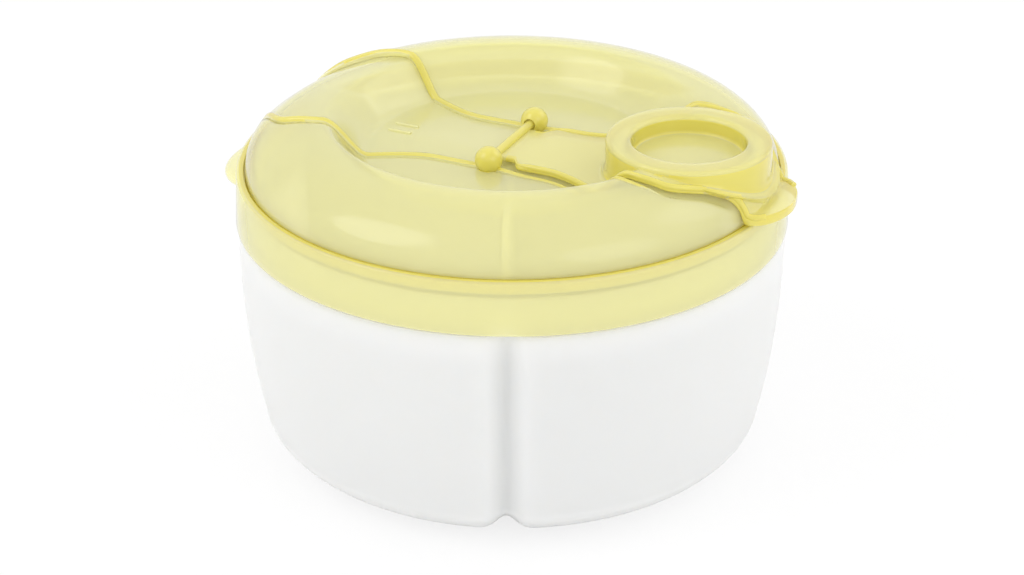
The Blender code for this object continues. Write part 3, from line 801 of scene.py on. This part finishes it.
clearYellow = {
    "ior": 1.46, "wave": 90.0, "grain": 1800.0, "roughLow": 0.10, "roughHigh": 0.20,
    "bump": 0.25, "bumpHeight": 0.05 * mm,
    "absorb": (0.993, 0.972, 0.10), "through": 0.05,
}
yellowLooks = {
    "lid": {"colour": (1.0, 0.965, 0.50), "density": 80.0, "haze": 0.49},
    "flap": {"colour": (1.0, 0.95, 0.40), "density": 90.0, "haze": 0.52},
    # deep: a darker yellow painted as shade on ridges, edges, seams and walls
    "deep": {"colour": (0.92, 0.83, 0.17), "density": 150.0, "haze": 0.72},
}
milkyWhite = {
    "colour": (0.84, 0.838, 0.83),
    "ior": 1.49, "wave": 45.0, "grain": 1600.0, "roughLow": 0.28, "roughHigh": 0.40,
    "bump": 0.2, "bumpHeight": 0.05 * mm,
    "depth": 5.0 * mm, "milk": 1.0,
}


def yellowPlastic(name, group, look):
    # hazy see-through plastic: a thin veil of its own colour over a clear depth that deepens with
    # the way that light travels through it, and a gloss that only its outer skin has
    material, shader = dressMaterial(name, group, {**clearYellow, **look})
    nodes, links = material.node_tree.nodes, material.node_tree.links
    clear, veil = nodes.new("ShaderNodeBsdfTransparent"), nodes.new("ShaderNodeMixShader")
    glow, cloud = nodes.new("ShaderNodeBsdfTranslucent"), nodes.new("ShaderNodeMixShader")
    glow.inputs["Color"].default_value = (*look["colour"], 1.0)
    cloud.inputs[0].default_value = clearYellow["through"]
    links.new(shader.outputs[0], cloud.inputs[1])
    links.new(glow.outputs[0], cloud.inputs[2])
    veil.inputs[0].default_value = look["haze"]
    links.new(clear.outputs[0], veil.inputs[1])
    links.new(cloud.outputs[0], veil.inputs[2])
    gloss, skin = nodes.new("ShaderNodeBsdfGlossy"), nodes.new("ShaderNodeMixShader")
    bump = next(n for n in nodes if n.type == "BUMP")
    finish = next(n for n in nodes if n.type == "GROUP")
    links.new(finish.outputs["Roughness"], gloss.inputs["Roughness"])
    links.new(bump.outputs["Normal"], gloss.inputs["Normal"])
    edge, side = nodes.new("ShaderNodeFresnel"), nodes.new("ShaderNodeNewGeometry")
    front = nodes.new("ShaderNodeMath")
    edge.inputs["IOR"].default_value = clearYellow["ior"]
    outer = nodes.new("ShaderNodeMath")
    outer.operation = "SUBTRACT"
    outer.inputs[0].default_value = 1.0
    links.new(side.outputs["Backfacing"], outer.inputs[1])
    front.operation = "MULTIPLY"
    links.new(edge.outputs[0], front.inputs[0])
    links.new(outer.outputs[0], front.inputs[1])
    links.new(front.outputs[0], skin.inputs[0])
    links.new(veil.outputs[0], skin.inputs[1])
    links.new(gloss.outputs[0], skin.inputs[2])
    links.new(skin.outputs[0], nodes["Material Output"].inputs["Surface"])
    depth = nodes.new("ShaderNodeVolumeAbsorption")
    depth.inputs["Color"].default_value = (*clearYellow["absorb"], 1.0)
    depth.inputs["Density"].default_value = look["density"]
    links.new(depth.outputs[0], nodes["Material Output"].inputs["Volume"])
    return material


def milkyPlastic(name, group):
    material, shader = dressMaterial(name, group, milkyWhite)
    shader.inputs["Subsurface Weight"].default_value = milkyWhite["milk"]
    shader.inputs["Subsurface Radius"].default_value = (1.0, 0.95, 0.9)
    shader.inputs["Subsurface Scale"].default_value = milkyWhite["depth"]
    return material


# ---- surroundings
studio = {
    "camera": {"azimuth": 24.9, "elevation": 23.97, "distance": 533 * mm, "drop": 25.15 * mm, "lens": 94.46},
    "world": 0.95,
    "floorColour": (0.95, 0.95, 0.95),
    "floorGlow": 0.8,
    "floorRadius": 6.0,
    "lamps": [
        {"name": "key", "place": (-0.9, -0.9, 1.3), "size": 1.2, "power": 5.5},
        {"name": "fill", "place": (1.2, -0.5, 0.7), "size": 1.0, "power": 2.2},
        {"name": "rim", "place": (1.1, 1.0, 1.2), "size": 1.2, "power": 3.0},
    ],
}


def makeCamera(look):
    az, el = math.radians(look["azimuth"]), math.radians(look["elevation"])
    away = Vector((math.sin(az) * math.cos(el), -math.cos(az) * math.cos(el), math.sin(el)))
    up = Vector((-math.sin(az) * math.sin(el), math.cos(az) * math.sin(el), math.cos(el)))
    centre = Vector((0.0, 0.0, seamZ))
    data = bpy.data.cameras.new("camera")
    data.lens = look["lens"]
    data.sensor_width = 36.0
    data.clip_start = 0.01
    camera = bpy.data.objects.new("camera", data)
    bpy.context.scene.collection.objects.link(camera)
    camera.location = centre + away * look["distance"]
    target = centre - up * look["drop"]
    camera.rotation_euler = (target - camera.location).to_track_quat("-Z", "Y").to_euler()
    bpy.context.scene.camera = camera


def makeStudio(look):
    scene = bpy.context.scene
    world = bpy.data.worlds.new("studio")
    scene.world = world
    world.use_nodes = True
    nodes, links = world.node_tree.nodes, world.node_tree.links
    plain = nodes["Background"]
    plain.inputs["Color"].default_value = (1.0, 1.0, 1.0, 1.0)
    plain.inputs["Strength"].default_value = look["world"]
    seen = nodes.new("ShaderNodeBackground")
    seen.inputs["Color"].default_value = (1.0, 1.0, 1.0, 1.0)
    path, mix = nodes.new("ShaderNodeLightPath"), nodes.new("ShaderNodeMixShader")
    first, second = nodes.new("ShaderNodeMath"), nodes.new("ShaderNodeMath")
    first.operation = second.operation = "MAXIMUM"
    links.new(path.outputs["Is Camera Ray"], first.inputs[0])
    links.new(path.outputs["Is Glossy Ray"], first.inputs[1])
    links.new(first.outputs[0], second.inputs[0])
    links.new(path.outputs["Is Transmission Ray"], second.inputs[1])
    links.new(second.outputs[0], mix.inputs[0])
    links.new(plain.outputs[0], mix.inputs[1])
    links.new(seen.outputs[0], mix.inputs[2])
    links.new(mix.outputs[0], nodes["World Output"].inputs["Surface"])
    for lamp in look["lamps"]:
        data = bpy.data.lights.new(lamp["name"], "AREA")
        data.shape = "DISK"
        data.size = lamp["size"]
        data.energy = lamp["power"]
        thing = bpy.data.objects.new(lamp["name"], data)
        scene.collection.objects.link(thing)
        thing.location = lamp["place"]
        aim = Vector((0.0, 0.0, 0.03)) - Vector(lamp["place"])
        thing.rotation_euler = aim.to_track_quat("-Z", "Y").to_euler()
    floor = cylinder("floor", look["floorRadius"], -0.02 * mm, -5 * mm, 96, core=10 * mm)
    material = bpy.data.materials.new("floorPaper")
    material.use_nodes = True
    shader = material.node_tree.nodes["Principled BSDF"]
    shader.inputs["Base Color"].default_value = (*look["floorColour"], 1.0)
    shader.inputs["Roughness"].default_value = 0.9
    shader.inputs["Specular IOR Level"].default_value = 0.0
    nodes, links = material.node_tree.nodes, material.node_tree.links
    glow, paper = nodes.new("ShaderNodeEmission"), nodes.new("ShaderNodeMixShader")
    path = nodes.new("ShaderNodeLightPath")
    share = nodes.new("ShaderNodeMath")
    share.operation = "MULTIPLY"
    share.inputs[1].default_value = look["floorGlow"]
    links.new(path.outputs["Is Camera Ray"], share.inputs[0])
    links.new(share.outputs[0], paper.inputs[0])
    links.new(shader.outputs[0], paper.inputs[1])
    links.new(glow.outputs[0], paper.inputs[2])
    links.new(paper.outputs[0], nodes["Material Output"].inputs["Surface"])
    floor.data.materials.append(material)


makeCamera(studio["camera"])
makeStudio(studio)
print("camera, floor and lamps set")
finishGroup = mouldedFinishGroup()
lidYellow = yellowPlastic("lidYellow", finishGroup, yellowLooks["lid"])
# a darker copy of the yellow plastic, painted as shade on ridges, edges, seams and walls
paintedShadeYellow = yellowPlastic("paintedShadeYellow", finishGroup, yellowLooks["deep"])
flapYellow = yellowPlastic("flapYellow", finishGroup, yellowLooks["flap"])
makeBowl([milkyPlastic("milkyBowlPlastic", finishGroup)])
makeDivider([milkyPlastic("milkyDividerPlastic", finishGroup)])
makeLidRing([lidYellow, paintedShadeYellow])
makeDome([lidYellow, paintedShadeYellow])
makeFlap([flapYellow, paintedShadeYellow])

bpy.context.scene.view_settings.view_transform = "Standard"
